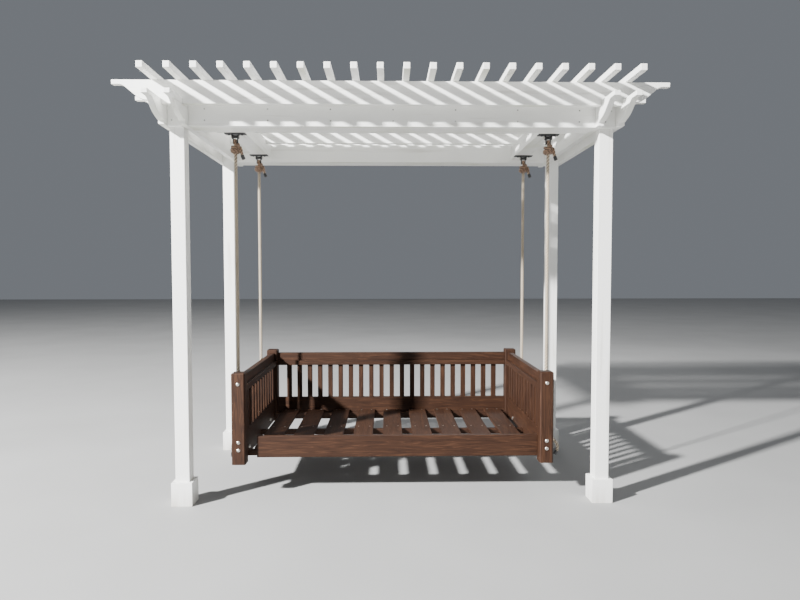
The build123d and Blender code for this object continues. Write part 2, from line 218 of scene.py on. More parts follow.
@dataclass(frozen=True)
class WhitePaint:
    """Brushed white exterior paint over softwood, with faint grain, grime and green tinge.

    Attributes:
        grain: Direction of the board's grain.
        clean: Linear colour of clean paint.
        worn: Linear colour where grime sits in the grain.
        tinge: Linear colour of the green film on sheltered undersides.
        dust: Linear colour of dusty patches.
        soil: Linear colour of dirt splashed up from the floor.
        foot_dirt: Whether there is such dirt.
        splash_height: How high it reaches.
    """

    grain: Grain
    clean: Triple = (0.86, 0.86, 0.83)
    worn: Triple = (0.70, 0.69, 0.65)
    tinge: Triple = (0.55, 0.58, 0.38)
    dust: Triple = (0.50, 0.47, 0.40)
    soil: Triple = (0.30, 0.26, 0.20)
    foot_dirt: bool = False
    splash_height: float = 0.12

    def material(self) -> Material:
        """Build the paint's material.

        Returns:
            The material.
        """
        graph = NodeGraph(f"white_paint_{self.grain.name.lower()}{'_foot' if self.foot_dirt else ''}")
        fibres = graph.noise(self.grain.stretch(150.0, 5.0), 5.0, 0.65)
        streaks = graph.noise(self.grain.stretch(28.0, 1.6), 3.0, 0.5, 0.4)
        clouds = graph.noise(2.4, 3.0, 0.55)
        colour = graph.ramp(streaks, (0.26, self.worn), (0.42, self.clean), (1.0, self.clean))
        colour = graph.blend(graph.span(fibres, (0.62, 0.85), (0.0, 0.16)), colour, self.worn)
        under = graph.span(graph.along("Z", "Normal"), (-0.2, -0.9), (0.0, 1.0))
        film = graph.calc("MULTIPLY", under, graph.span(clouds, (0.46, 0.70), (0.0, 0.45)))
        colour = graph.blend(film, colour, self.tinge)
        colour = graph.blend(graph.span(clouds, (0.56, 0.80), (0.0, 0.10)), colour, self.dust)
        if self.foot_dirt:
            low = graph.span(graph.along("Z", "Object"), (self.splash_height, 0.0), (0.0, 1.0))
            splash = graph.calc("MULTIPLY", low, graph.span(streaks, (0.35, 0.65), (0.1, 0.55)))
            colour = graph.blend(splash, colour, self.soil)
        surface = {"Base Color": colour, "Roughness": graph.span(fibres, (0.3, 0.8), (0.38, 0.56))}
        return graph.finish(surface, (graph.calc("ADD", fibres, streaks), 0.35, 0.0006))


@dataclass(frozen=True)
class BrownStain:
    """Dark brown film stain on softwood, with the grain showing through.

    Attributes:
        grain: Direction of the board's grain.
        deep: Linear colour in the dense late wood.
        body: Linear colour of most of the face.
        light: Linear colour where the stain is thin.
    """

    grain: Grain
    deep: Triple = (0.0170, 0.0066, 0.0032)
    body: Triple = (0.0280, 0.0112, 0.0052)
    light: Triple = (0.0520, 0.0225, 0.0108)

    def material(self) -> Material:
        """Build the stain's material.

        Returns:
            The material.
        """
        graph = NodeGraph(f"brown_stain_{self.grain.name.lower()}")
        rings = graph.noise(self.grain.stretch(34.0, 1.8), 2.0, 0.5, 1.3)
        banded = graph.calc("PINGPONG", graph.calc("MULTIPLY", rings, 8.0), 1.0)
        pores = graph.noise(self.grain.stretch(420.0, 14.0), 3.0, 0.7)
        wear = graph.noise(5.0, 4.0)
        colour = graph.ramp(banded, (0.0, self.deep), (0.22, self.body), (0.70, self.body), (1.0, self.light))
        colour = graph.blend(graph.span(pores, (0.55, 0.80), (0.0, 0.55)), colour, self.deep)
        colour = graph.blend(graph.span(wear, (0.52, 0.80), (0.0, 0.30)), colour, self.light)
        facing = graph.calc("ABSOLUTE", graph.along(self.grain.name, "Normal"), 0.0)
        end_rings = graph.span(graph.noise(60.0, 3.0, 0.6, 1.0), (0.3, 0.6), (0.5, 1.0))
        end_grain = graph.calc("MULTIPLY", graph.span(facing, (0.75, 0.95), (0.0, 0.85)), end_rings)
        colour = graph.blend(end_grain, colour, self.deep)
        roughness = graph.span(pores, (0.3, 0.8), (0.52, 0.70))
        surface = {"Base Color": colour, "Roughness": roughness, "Specular IOR Level": 0.22}
        return graph.finish(surface, (graph.calc("ADD", pores, banded), 0.30, 0.0005))


@dataclass(frozen=True)
class LaidFibre:
    """Natural fibre rope, cream on the strands' crowns, dark in the grooves from dirt and painted shade.

    Attributes:
        shade: Linear colour between the yarns.
        body: Linear colour of most of the yarns.
        pale: Linear colour of the loose hairs.
        weathered: Linear colour of the duller lengths.
        upper_knot_brown: Linear colour of the darker, redder rope at the upper knots.
        knot_z: Heights over which that colour fades in.
        groove: Linear colour in the grooves between the strands, for the dirt and the painted shade there.
    """

    shade: Triple = (0.33, 0.235, 0.150)
    body: Triple = (0.66, 0.56, 0.42)
    pale: Triple = (0.86, 0.79, 0.66)
    weathered: Triple = (0.36, 0.25, 0.15)
    upper_knot_brown: Triple = (0.27, 0.125, 0.065)
    knot_z: Pair = (2.262, 2.285)
    groove: Triple = (0.045, 0.024, 0.012)

    def material(self) -> Material:
        """Build the rope's material.

        Returns:
            The material.
        """
        graph = NodeGraph("laid_fibre", by_board=False)
        hairs = graph.noise((520.0, 520.0, 190.0), 4.0, 0.75, 0.8)
        colour = graph.ramp(hairs, (0.28, self.shade), (0.50, self.body), (0.78, self.pale))
        dull = graph.span(graph.noise(9.0, 3.0), (0.50, 0.78), (0.0, 0.40))
        colour = graph.blend(dull, colour, self.weathered)
        # Darker, redder brown on the rope from just under the upper knots upward.
        upper_knot_share = graph.span(graph.along("Z", "Object"), self.knot_z, (0.0, 0.75))
        colour = graph.blend(upper_knot_share, colour, self.upper_knot_brown)
        # Dirt and painted shade: the colour darkens towards the grooves between the strands, by each vertex's
        # distance from the rope's line.
        between = graph.span(graph.attribute("strand_crown"), (0.70, 1.0), (0.98, 0.0))
        colour = graph.blend(between, colour, self.groove)
        surface = {"Base Color": colour, "Roughness": 0.92, "Sheen Weight": 0.25}
        return graph.finish(surface, (hairs, 0.6, 0.0008))


@dataclass(frozen=True)
class DarkCoat:
    """Black coated steel or black tape, with a fine orange peel.

    Attributes:
        name: Name of the finish.
        colour: Linear base colour.
        roughness: Least roughness.
        peel: Pattern scale of the surface's unevenness.
    """

    name: str = "black_powder_coat"
    colour: Triple = (0.014, 0.014, 0.015)
    roughness: float = 0.45
    peel: float = 420.0

    def material(self) -> Material:
        """Build the coat's material.

        Returns:
            The material.
        """
        graph = NodeGraph(self.name, by_board=False)
        dust = graph.noise(30.0, 4.0)
        pale = tuple(channel * 2.6 for channel in self.colour)
        surface = {
            "Base Color": graph.ramp(dust, (0.35, self.colour), (0.80, pale)),
            "Roughness": graph.span(dust, (0.3, 0.8), (self.roughness, self.roughness + 0.15)),
        }
        return graph.finish(surface, (graph.noise(self.peel, 2.0), 0.35, 0.0003))


@dataclass(frozen=True)
class ZincPlate:
    """Bright zinc-plated steel, faintly mottled.

    Attributes:
        bright: Linear colour of the plating.
        dull: Linear colour of its blooms.
        name: Name of the finish.
    """

    bright: Triple = (0.77, 0.73, 0.66)
    dull: Triple = (0.48, 0.47, 0.45)
    name: str = "zinc_plate"

    def material(self) -> Material:
        """Build the plating's material.

        Returns:
            The material.
        """
        graph = NodeGraph(self.name, by_board=False)
        bloom = graph.noise(150.0, 4.0)
        surface = {
            "Base Color": graph.ramp(bloom, (0.35, self.bright), (0.75, self.dull)),
            "Roughness": graph.span(bloom, (0.3, 0.8), (0.24, 0.46)), "Metallic": 1.0,
        }
        return graph.finish(surface, (bloom, 0.15, 0.0003))


Finish = WhitePaint | BrownStain | LaidFibre | DarkCoat | ZincPlate


@dataclass
class Paintbox:
    """Every finish of the object, each built once when it is first asked for."""

    made: dict[Finish, Material] = field(default_factory=dict)

    def get(self, finish: Finish) -> Material:
        """Material of a finish.

        Args:
            finish: The finish.

        Returns:
            Its material, made on the first call.
        """
        if finish not in self.made:
            self.made[finish] = finish.material()
        return self.made[finish]


def add_object(name: str, data: bpy.types.ID, place: Matrix | None = None) -> bpy.types.Object:
    """Add an object to the scene.

    Args:
        name: Its name.
        data: Mesh, light or camera that it shows.
        place: Where it stands, if not at the origin.

    Returns:
        The new object.
    """
    added = bpy.data.objects.new(name, data)
    if place is not None:
        added.matrix_world = place
    bpy.context.scene.collection.objects.link(added)
    return added


class Shape:
    """A piece being shaped, with its finishes by face."""

    def __init__(self, name: str, finishes: list[Material]) -> None:
        """Start an empty shape.

        Args:
            name: Name of the finished piece.
            finishes: Its materials, in the order that faces name them.
        """
        self.name = name
        self.finishes = finishes
        self.bm = bmesh.new()
        self.tone = self.bm.faces.layers.float.new("board_tone")

    def fresh(self, before: Faces) -> list[bmesh.types.BMFace]:
        """Faces made since `before`."""
        return [face for face in self.bm.faces if face not in before]

    def _stamp(self, before: Faces, finish: int, tone: float, smooth: bool = False) -> None:
        """Give the faces made since `before` their finish, tone and shading.

        Args:
            before: Faces that were there already.
            finish: Index of the new faces' finish.
            tone: Number that sets a board's pattern apart.
            smooth: Whether the new faces are shaded smooth.
        """
        for face in self.fresh(before):
            face.material_index = finish
            face[self.tone] = tone
            face.smooth = smooth

    def ease(self, edges: list[bmesh.types.BMEdge], width: float, segments: int = 2) -> None:
        """Ease edges.

        Args:
            edges: The edges.
            width: Width of the bevel.
            segments: Number of its facets.
        """
        bmesh.ops.bevel(
            self.bm, geom=edges, offset=width, offset_type="OFFSET", segments=segments, profile=0.5,
            affect="EDGES", material=-1, clamp_overlap=True,
        )

    def board(self, low: Vector, high: Vector, easing: float, tone: float, finish: int = 0) -> None:
        """Add a straight board with eased edges.

        Args:
            low: Lowest corner.
            high: Highest corner.
            easing: Width of the eased edges.
            tone: Number that sets its pattern apart.
            finish: Index of its finish.
        """
        before = set(self.bm.faces)
        verts = bmesh.ops.create_cube(self.bm, size=1.0)["verts"]
        bmesh.ops.scale(self.bm, vec=high - low, verts=verts)
        bmesh.ops.translate(self.bm, vec=(low + high) / 2, verts=verts)
        self.ease(list({edge for vert in verts for edge in vert.link_edges}), easing)
        self._stamp(before, finish, tone)

    def node_copy(self, node: str, easing: float, tone: float) -> None:
        """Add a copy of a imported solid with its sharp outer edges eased.

        Args:
            node: Name of the solid.
            easing: Width of the eased edges.
            tone: Number that sets its pattern apart.
        """
        before = set(self.bm.faces)
        self.bm.from_mesh(bpy.data.objects[node].data)
        bmesh.ops.remove_doubles(self.bm, verts=self.bm.verts, dist=WELD_DISTANCE)
        bmesh.ops.dissolve_limit(
            self.bm, angle_limit=math.radians(1.0), verts=self.bm.verts, edges=self.bm.edges
        )
        sharp = [
            edge for edge in self.bm.edges
            if edge.is_manifold and edge.is_convex and edge.calc_face_angle() > math.radians(30)
        ]
        self.ease(sharp, easing)
        self._stamp(before, 0, tone)

    def turned(
        self, base: Vector, axis: Vector, profile: Sequence[Pair], sides: int = 24, finish: int = 0,
        ring: bool = False,
    ) -> None:
        """Add a turned shape by spinning a profile round an axis.

        Args:
            base: Point on the axis where heights are counted from.
            axis: Direction of the axis.
            profile: Radii and heights, from radius zero to radius zero, or round a ring's section.
            sides: Steps of the full turn.
            finish: Index of its finish.
            ring: Whether the profile closes on itself instead of meeting the axis.
        """
        before = set(self.bm.faces)
        axis = axis.normalized()
        side = axis.orthogonal().normalized()
        verts = [self.bm.verts.new(base + side * radius + axis * height) for radius, height in profile]
        edges = [self.bm.edges.new(pair) for pair in zip(verts, verts[1:] + verts[:1] if ring else verts[1:])]
        bmesh.ops.spin(
            self.bm, geom=verts + edges, cent=base, axis=axis, dvec=(0, 0, 0),
            angle=math.tau, steps=sides, use_merge=True, use_duplicate=False,
        )
        rim = {vert for face in self.fresh(before) for vert in face.verts}
        rim |= {vert for vert in verts if vert.is_valid}
        bmesh.ops.remove_doubles(self.bm, verts=list(rim), dist=WELD_DISTANCE / 2)
        bmesh.ops.recalc_face_normals(self.bm, faces=self.fresh(before))
        self._stamp(before, finish, 0.0, smooth=sides > 8)

    def hexagon(self, centre: Vector, axis: Vector, across: float, height: float) -> None:
        """Add a hexagon head with a washer face and a domed crown.

        Args:
            centre: Middle of the face it bears on.
            axis: Direction away from that face.
            across: Radius to its corners.
            height: Height of the head.
        """
        profile = [
            (0.0, 0.0), (across * 0.97, 0.0), (across, height * 0.08), (across, height * 0.86),
            (across * 0.90, height), (0.0, height),
        ]
        self.turned(centre, axis, profile, 6)

    def finish_piece(self, body: str, slot: str, *nodes: str, smooth_angle: float | None = None) -> None:
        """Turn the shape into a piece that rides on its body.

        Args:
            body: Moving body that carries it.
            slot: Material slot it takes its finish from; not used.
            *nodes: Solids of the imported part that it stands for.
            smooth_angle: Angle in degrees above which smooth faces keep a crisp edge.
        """
        mesh = bpy.data.meshes.new(self.name)
        self.bm.to_mesh(mesh)
        self.bm.free()
        for finish in self.finishes:
            mesh.materials.append(finish)
        if smooth_angle is not None:
            mesh.set_sharp_from_angle(angle=math.radians(smooth_angle))
        piece = add_object(self.name, mesh)
        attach(piece, body)
        if nodes:
            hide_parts(*nodes)
        LOG.info("built %s", self.name)


def solid_boxes(node: str) -> VectorPairs:
    """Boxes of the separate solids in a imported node.

    Args:
        node: Name of the node.

    Returns:
        Lowest and highest corner of each solid, from low X to high X.
    """
    bm = bmesh.new()
    bm.from_mesh(bpy.data.objects[node].data)
    bmesh.ops.remove_doubles(bm, verts=bm.verts, dist=WELD_DISTANCE)
    found, seen = [], set()
    for start in bm.verts:
        if start in seen:
            continue
        group, stack = [], [start]
        seen.add(start)
        while stack:
            vert = stack.pop()
            group.append(vert.co.copy())
            for edge in vert.link_edges:
                other = edge.other_vert(vert)
                if other not in seen:
                    seen.add(other)
                    stack.append(other)
        low, high = ([pick(point[axis] for point in group) for axis in range(3)] for pick in (min, max))
        found.append((Vector(low), Vector(high)))
    bm.free()
    return sorted(found, key=lambda pair: (round(pair[0].x, 4), round(pair[0].y, 4), pair[0].z))


@dataclass
class Assembly:
    """Pieces that take their finishes from one store.

    Attributes:
        paints: Store of finishes.
    """

    paints: Paintbox

    def shape(self, name: str, *finishes: Finish) -> Shape:
        """Start a shape whose faces name the finishes given, in their order."""
        return Shape(name, [self.paints.get(finish) for finish in finishes])

    def dress_boards(
        self, node: str, body: str, slot: str, finishes: list[Finish], easing: float, finish: int = 0,
        sunk: float = 0.0,
    ) -> None:
        """Dress a node of straight boards.

        Args:
            node: Name of the node.
            body: Body that carries it.
            slot: Material slot of its finish.
            finishes: Finishes that the piece holds.
            easing: Width of the eased edges.
            finish: Which of the finishes the boards take.
            sunk: How far the top lies under the solid's top.
        """
        shape = self.shape(f"{node}_timber", *finishes)
        for low, high in solid_boxes(node):
            shape.board(low, high - Vector((0.0, 0.0, sunk)), easing, random.random(), finish)
        shape.finish_piece(body, slot, node)

    def dress_copy(
        self, name: str, node: str, body: str, slot: str, finish: Finish, easing: float, tone: float = 0.0
    ) -> None:
        """Dress a node whose solid has a shape of its own.

        Args:
            name: Name of the finished piece.
            node: Name of the node.
            body: Body that carries it.
            slot: Material slot of its finish.
            finish: Its finish.
            easing: Width of the eased edges.
            tone: Number that sets its pattern apart.
        """
        shape = self.shape(name, finish)
        shape.node_copy(node, easing, tone)
        shape.finish_piece(body, slot, node)


@dataclass
class TimberFrame(Assembly):
    """Posts, beams, rafters and slats of the white structure.

    Attributes:
        easing: Width of the eased edges of sawn lumber.
        head_height: Height of a screw head, which the slats' tops lie under.
        skirt_wall: Thickness of the skirts' boards.
        skirt_easing: Width of their eased edges.
        skirt_bevel: Bevel on the skirts' top edge.
        edge_reach: Distance within which an edge counts as that top edge.
        mitre_cut: How much a mitre takes off a skirt board's outer corner.
    """

    easing: float = 0.0028
    head_height: float = 0.0010
    skirt_wall: float = 0.022
    skirt_easing: float = 0.0015
    skirt_bevel: float = 0.0042
    edge_reach: float = 0.002
    mitre_cut: float = 0.0003

    def build(self) -> None:
        """Build every timber of the structure."""
        for end in ENDS:
            for side in SIDES:
                self._straight(f"post_{end}_{side}", WhitePaint(Grain.Z, foot_dirt=True), "painted_posts")
            for ply in ("outer", "core", "inner"):
                self._straight(f"cross_beam_{end}_{ply}", WhitePaint(Grain.X), "painted_beams")
        for side in SIDES:
            self._straight(f"swing_beam_{side}", WhitePaint(Grain.Y), "painted_beams")
            for ply in ("inner", "outer"):
                self._shaped(f"side_beam_{side}_{ply}", WhitePaint(Grain.Y), "painted_beams")
        for index in range(1, 6):
            self._shaped(f"rafter_{index}", WhitePaint(Grain.X), "painted_rafters")
        self._straight("spacer_blocks", WhitePaint(Grain.Z), "painted_trim")
        self._straight("shade_slats", WhitePaint(Grain.Y), "painted_slats", self.head_height)
        self._skirts()

    def _straight(self, node: str, paint: WhitePaint, slot: str, sunk: float = 0.0) -> None:
        """Dress a node of straight boards, with the tops sunk under the solid's top."""
        self.dress_boards(node, "frame", slot, [paint], self.easing, sunk=sunk)

    def _shaped(self, node: str, paint: WhitePaint, slot: str) -> None:
        """Dress a node whose board has a cut profile."""
        self.dress_copy(f"{node}_timber", node, "frame", slot, paint, self.easing, random.random())

    def _skirts(self) -> None:
        """Box each post's foot in four mitred boards with a bevelled top edge."""
        shape = self.shape("post_skirts_boxes", WhitePaint(Grain.Z, foot_dirt=True))
        for low, high in solid_boxes("post_skirts"):
            for quarter in range(4):
                self._skirt_board(shape, low, high, quarter)
        shape.finish_piece("frame", "painted_trim", "post_skirts")

    def _skirt_board(self, shape: Shape, low: Vector, high: Vector, quarter: int) -> None:
        """Add one of the four boards of a skirt.

        Args:
            shape: Shape that takes the board.
            low: Lowest corner of the skirt.
            high: Highest corner of the skirt.
            quarter: Quarter turns from the front to the board's place.
        """
        centre, half = (low + high) / 2, (high.x - low.x) / 2
        before = set(shape.bm.faces)
        end = Vector((half, -half + self.skirt_wall, high.z))
        shape.board(Vector((-half, -half, low.z)), end, self.skirt_easing, random.random())
        top, front = high.z - self.edge_reach, -half + self.edge_reach
        lip = {
            edge for face in shape.fresh(before) for edge in face.edges
            if all(vert.co.z > top and vert.co.y < front for vert in edge.verts)
        }
        shape.ease(list(lip), self.skirt_bevel, 1)
        for side in SIDES.values():
            corner = Vector((side * (half - self.mitre_cut), -half, 0.0))
            self._mitre(shape, before, corner, Vector((side, 1.0, 0.0)))
        verts = list({vert for face in shape.fresh(before) for vert in face.verts})
        place = Matrix.Translation((centre.x, centre.y, 0)) @ Matrix.Rotation(quarter * math.pi / 2, 4, "Z")
        bmesh.ops.transform(shape.bm, matrix=place, verts=verts)

    def _mitre(self, shape: Shape, before: Faces, corner: Vector, away: Vector) -> None:
        """Cut the newest board off at 45 degrees and close the cut.

        Args:
            shape: Shape that holds the board.
            before: Faces that belong to older boards.
            corner: Point on the cut.
            away: Direction of the waste.
        """
        fresh = shape.fresh(before)
        tone = fresh[0][shape.tone]
        edges = {edge for face in fresh for edge in face.edges}
        verts = {vert for face in fresh for vert in face.verts}
        cut = bmesh.ops.bisect_plane(
            shape.bm, geom=[*fresh, *edges, *verts], plane_co=corner, plane_no=away.normalized(),
            clear_outer=True,
        )
        rim = [item for item in cut["geom_cut"] if isinstance(item, bmesh.types.BMEdge)]
        for face in bmesh.ops.holes_fill(shape.bm, edges=rim, sides=0)["faces"]:
            face[shape.tone] = tone


@dataclass
class SwingBed(Assembly):
    """The slatted daybed that hangs from the ropes.

    Attributes:
        easing: Width of the boards' eased edges.
        post_easing: Width of the corner posts' eased edges.
        rail_height: Height of a panel's top rail.
        sub_rail_height: Height of the rail under it.
        sub_rail_projection: How far that rail stands inward.
        low_board_depth: Depth of a panel's low board.
        baluster: Side of a baluster.
        end_balusters: Balusters in an end panel, and the gap at its ends.
        back_balusters: Balusters in the back panel, and the gap at its ends.
    """

    easing: float = 0.0025
    post_easing: float = 0.0012
    rail_height: float = 0.064
    sub_rail_height: float = 0.038
    sub_rail_projection: float = 0.019
    low_board_depth: float = 0.184
    baluster: float = 0.038
    end_balusters: tuple[int, float] = (12, 0.0225)
    back_balusters: tuple[int, float] = (21, 0.075)

    def build(self) -> None:
        """Build every board of the bed."""
        for end in ENDS:
            for side in SIDES:
                node, stain = f"bed_post_{end}_{side}", BrownStain(Grain.Z)
                self.dress_copy(
                    f"{node}_timber", node, "bed", "stained_wood", stain, self.post_easing, random.random()
                )
        self._panel("bed_end_panel_left", Grain.Y, 1.0, self.end_balusters)
        self._panel("bed_end_panel_right", Grain.Y, -1.0, self.end_balusters)
        self._panel("bed_back_panel", Grain.X, -1.0, self.back_balusters)
        stains = [BrownStain(grain) for grain in Grain]
        plain = (("bed_front_rail", Grain.X), ("bed_bearers", Grain.X), ("mattress_boards", Grain.Y))
        for node, grain in plain:
            self.dress_boards(node, "bed", "stained_wood", stains, self.easing, grain.value)

    def _panel(self, node: str, along: Grain, inward: float, balusters: tuple[int, float]) -> None:
        """Build a panel from its rails, balusters and low board.

        Args:
            node: Name of its node.
            along: Direction of its rails.
            inward: Sign of the direction towards the mattress.
            balusters: Number of balusters and the gap at the ends.
        """
        low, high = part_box(node)
        axis = along.value
        across = 1 - axis
        shape = self.shape(f"{node}_joinery", *(BrownStain(grain) for grain in Grain))
        outer, inner = (low[across], high[across]) if inward > 0 else (high[across], low[across])
        core = inner - inward * self.sub_rail_projection
        sub_top = high.z - self.rail_height
        sub_base = sub_top - self.sub_rail_height
        board_top = low.z + self.low_board_depth
        ends = (low[axis], high[axis])
        pieces = [
            (*ends, core, sub_top, high.z, axis), (*ends, inner, sub_base, sub_top, axis),
            (*ends, core, low.z, board_top, axis),
        ]
        count, gap = balusters
        first = low[axis] + gap + self.baluster / 2
        pitch = (high[axis] - low[axis] - 2 * gap - self.baluster) / (count - 1)
        for index in range(count):
            start = first + index * pitch - self.baluster / 2
            pieces.append((start, start + self.baluster, core, board_top, sub_base, Grain.Z.value))
        for start, stop, face, base, top, finish in pieces:
            near, far = Vector((0.0, 0.0, base)), Vector((0.0, 0.0, top))
            near[axis], far[axis] = start, stop
            near[across], far[across] = min(outer, face), max(outer, face)
            shape.board(near, far, self.easing, random.random(), finish)
        shape.finish_piece("bed", "stained_wood", node)


@dataclass
class Rope(Assembly):
    """One three-strand rope from its eye over the yoke pin to its loop round the bed's bolt.

    Attributes:
        end: Front or rear.
        side: Left or right.
        x: Middle of the drop across the bed.
        y: Middle of the drop from front to rear.
        pin_z: Height of the yoke's pin.
        bolt_z: Height of the bed's bolt.
        radius: Rope radius where it bends round a pin or bolt.
        free_radius: Rope radius away from the pins, where nothing squeezes it.
        squeezed: Distance from a pin within which it is squeezed, and length over which it swells.
        lay: Length of rope in which a strand goes once round.
        strand_ratio: Rope radius over strand radius, for three strands that touch.
        strand_swell: How much thicker than that the strands are, so that they press together.
        step: Distance between the points of the rope's line.
        eye: Radius of the eye's centre line.
        loop: Radius of the lower loop's centre line.
        knot: Centre height, coil radius, height and wraps of the upper knot.
        rider: Angle, radius and rise along the turn that crosses over that knot's wraps.
        low_knot: Centre height, coil radius, height and wraps of the lower knot.
        low_knot_offset: How far the lower knot sits outboard.
        drop_ends: How far inside the two knots' middles the straight drop starts and ends.
        tail: Rightward and upward places along the upper tail, from its tip.
        tail_front: How far that tail lies in front of the drop.
        low_tails: Outboard and downward places along the lower tail, by side.
        tape: Finish of the tape on the tails.
        tape_radii: Radii of the tape at its start, along it and at its tip.
        tape_ends: Lengths over which it widens at its start and narrows at its tip.
        tape_steps: Steps of the rope's line that the tape covers.
    """

    end: str
    side: str
    x: float
    y: float
    pin_z: float = 2.354
    bolt_z: float = 0.300
    radius: float = 0.0100
    free_radius: float = 0.0113
    squeezed: Pair = (0.028, 0.050)
    lay: float = 0.066
    strand_ratio: float = 2.155
    strand_swell: float = 1.01
    step: float = 0.004
    eye: float = 0.0153
    loop: float = 0.0183
    knot: tuple[float, float, float, int] = (2.311, 0.0215, 0.062, 2)
    rider: tuple[Triple, ...] = (
        (110, 0.024, -0.024), (165, 0.028, -0.018), (215, 0.030, -0.008), (255, 0.030, 0.004),
        (295, 0.029, 0.016), (340, 0.025, 0.026), (35, 0.020, 0.032),
    )
    low_knot: tuple[float, float, float, int] = (0.352, 0.0200, 0.056, 2)
    low_knot_offset: float = 0.014
    drop_ends: Pair = (0.02, 0.05)
    tail: tuple[Pair, ...] = (
        (0.054, -0.069), (0.046, -0.050), (0.040, -0.030), (0.038, -0.008), (0.032, 0.012),
    )
    tail_front: float = 0.004
    low_tails: dict[str, tuple[Pair, ...]] = field(
        default_factory=lambda: {
            "left": ((0.0225, 0.004), (0.028, 0.026), (0.032, 0.050), (0.032, 0.085), (0.030, 0.122)),
            "right": (
                (0.030, 0.008), (0.048, 0.024), (0.062, 0.040), (0.073, 0.062), (0.070, 0.092),
                (0.053, 0.122),
            ),
        }
    )
    tape: DarkCoat = DarkCoat("black_tape", (0.02, 0.02, 0.021), 0.38, 160.0)
    tape_radii: Triple = (0.0112, 0.0121, 0.0114)
    tape_ends: Pair = (0.001, 0.0015)
    tape_steps: int = 7

    def build(self) -> None:
        """Build the rope's strands and the tape on its tails."""
        line = even_steps(smooth_line(self._upper_end() + self._drop() + self._lower_end()), self.step)
        node = f"rope_{self.end}_{self.side}"
        shape = self.shape(f"{node}_strands", LaidFibre(), self.tape)
        for strand in range(3):
            self._strand(shape, line, strand)
        for tip, base in ((line[0], line[self.tape_steps]), (line[-1], line[-1 - self.tape_steps])):
            reach = (tip - base).length
            (start, full, end), (widening, narrowing) = self.tape_radii, self.tape_ends
            profile = [
                (0.0, 0.0), (start, 0.0), (full, widening), (full, reach), (end, reach + narrowing),
                (0.0, reach + narrowing),
            ]
            shape.turned(base, tip - base, profile, 20, finish=1)
        shape.finish_piece(f"{self.end}_ropes", "rope_fibre", node, smooth_angle=50)

    def _upper_end(self) -> list[Vector]:
        """Controls of the tail beside the knot, the wraps round the drop, the rider over them and the eye.

        Returns:
            The control points, from the tail's tip to the start of the drop.
        """
        middle, coil, height, wraps = self.knot
        axis = Vector((self.x, self.y, 0))
        low, high = middle - height / 2 + self.radius, middle + height / 2 - self.radius
        points = [Vector((self.x + out, self.y - self.tail_front, middle + rise)) for out, rise in self.tail]
        points += wrap_points(axis, coil, (high, low), wraps, math.radians(40), 1.0)
        for turn, radius, rise in self.rider:
            points.append(around(axis, radius, math.radians(turn), middle + rise))
        points += arch_points(Vector((self.x, self.y, self.pin_z)), self.eye, 1.0)
        return points + [Vector((self.x, self.y - self.eye * 0.6, middle + height * 0.2))]

    def _drop(self) -> list[Vector]:
        """Controls of the long straight drop."""
        top, bottom = self.knot[0] - self.drop_ends[0], self.low_knot[0] + self.drop_ends[1]
        return [Vector((self.x, self.y, top + (bottom - top) * step / 8)) for step in range(9)]

    def _lower_end(self) -> list[Vector]:
        """Controls of the loop round the bolt, the lower wraps and the tail.

        Returns:
            The control points, from the end of the drop to the tail's tip.
        """
        middle, coil, height, wraps = self.low_knot
        low, high = middle - height / 2 + self.radius * 0.9, middle + height / 2 - self.radius * 0.9
        outboard = SIDES[self.side]
        knot_x = self.x + outboard * self.low_knot_offset
        points = [Vector((self.x, self.y - self.loop * 0.7, low + 0.01))]
        points += arch_points(Vector((self.x, self.y, self.bolt_z)), self.loop, -1.0)[::-1]
        axis = Vector((knot_x, self.y, 0))
        points += wrap_points(axis, coil, (low, high), wraps, math.radians(90), outboard)
        tail = self.low_tails[self.side]
        return points + [Vector((knot_x + outboard * out, self.y, middle - drop)) for out, drop in tail]

    def _radius_at(self, point: Vector) -> float:
        """Rope radius at a point, less where a pin or bolt squeezes it.

        Args:
            point: Point on the rope's line.

        Returns:
            The radius.
        """
        away = min(abs(point.z - self.pin_z), abs(point.z - self.bolt_z))
        share = min(max((away - self.squeezed[0]) / self.squeezed[1], 0.0), 1.0)
        return self.radius + (self.free_radius - self.radius) * share

    def _strand(self, shape: Shape, line: list[Vector], strand: int) -> None:
        """Add one strand, wound round the rope's line.

        Args:
            shape: Shape that takes the strand.
            line: Points of the rope's line.
            strand: Which of the three strands it is.
        """
        points, shares = [], []
        tangent = (line[1] - line[0]).normalized()
        normal = tangent.orthogonal().normalized()
        travelled = 0.0
        for index, point in enumerate(line):
            ahead = (line[min(index + 1, len(line) - 1)] - line[max(index - 1, 0)]).normalized()
            normal = (tangent.rotation_difference(ahead) @ normal).normalized()
            tangent = ahead
            if index:
                travelled += (point - line[index - 1]).length
            angle = math.tau * (travelled / self.lay + strand / 3)
            side = normal * math.cos(angle) + tangent.cross(normal) * math.sin(angle)
            radius = self._radius_at(point)
            points.append(point + side * radius * (1 - 1 / self.strand_ratio))
            shares.append(radius / self.radius)
        curve = new_curve(f"strand_{strand}", "POLY", points)
        curve.bevel_depth = self.radius / self.strand_ratio * self.strand_swell
        curve.bevel_resolution = 2
        curve.use_fill_caps = True
        curve.splines[0].points.foreach_set("radius", shares)
        mesh = meshed(curve)
        before, old_verts = set(shape.bm.faces), set(shape.bm.verts)
        shape.bm.from_mesh(mesh)
        bpy.data.meshes.remove(mesh)
        for face in shape.fresh(before):
            face.smooth = True
            face.material_index = 0
        self._mark_crowns(shape, old_verts, line)

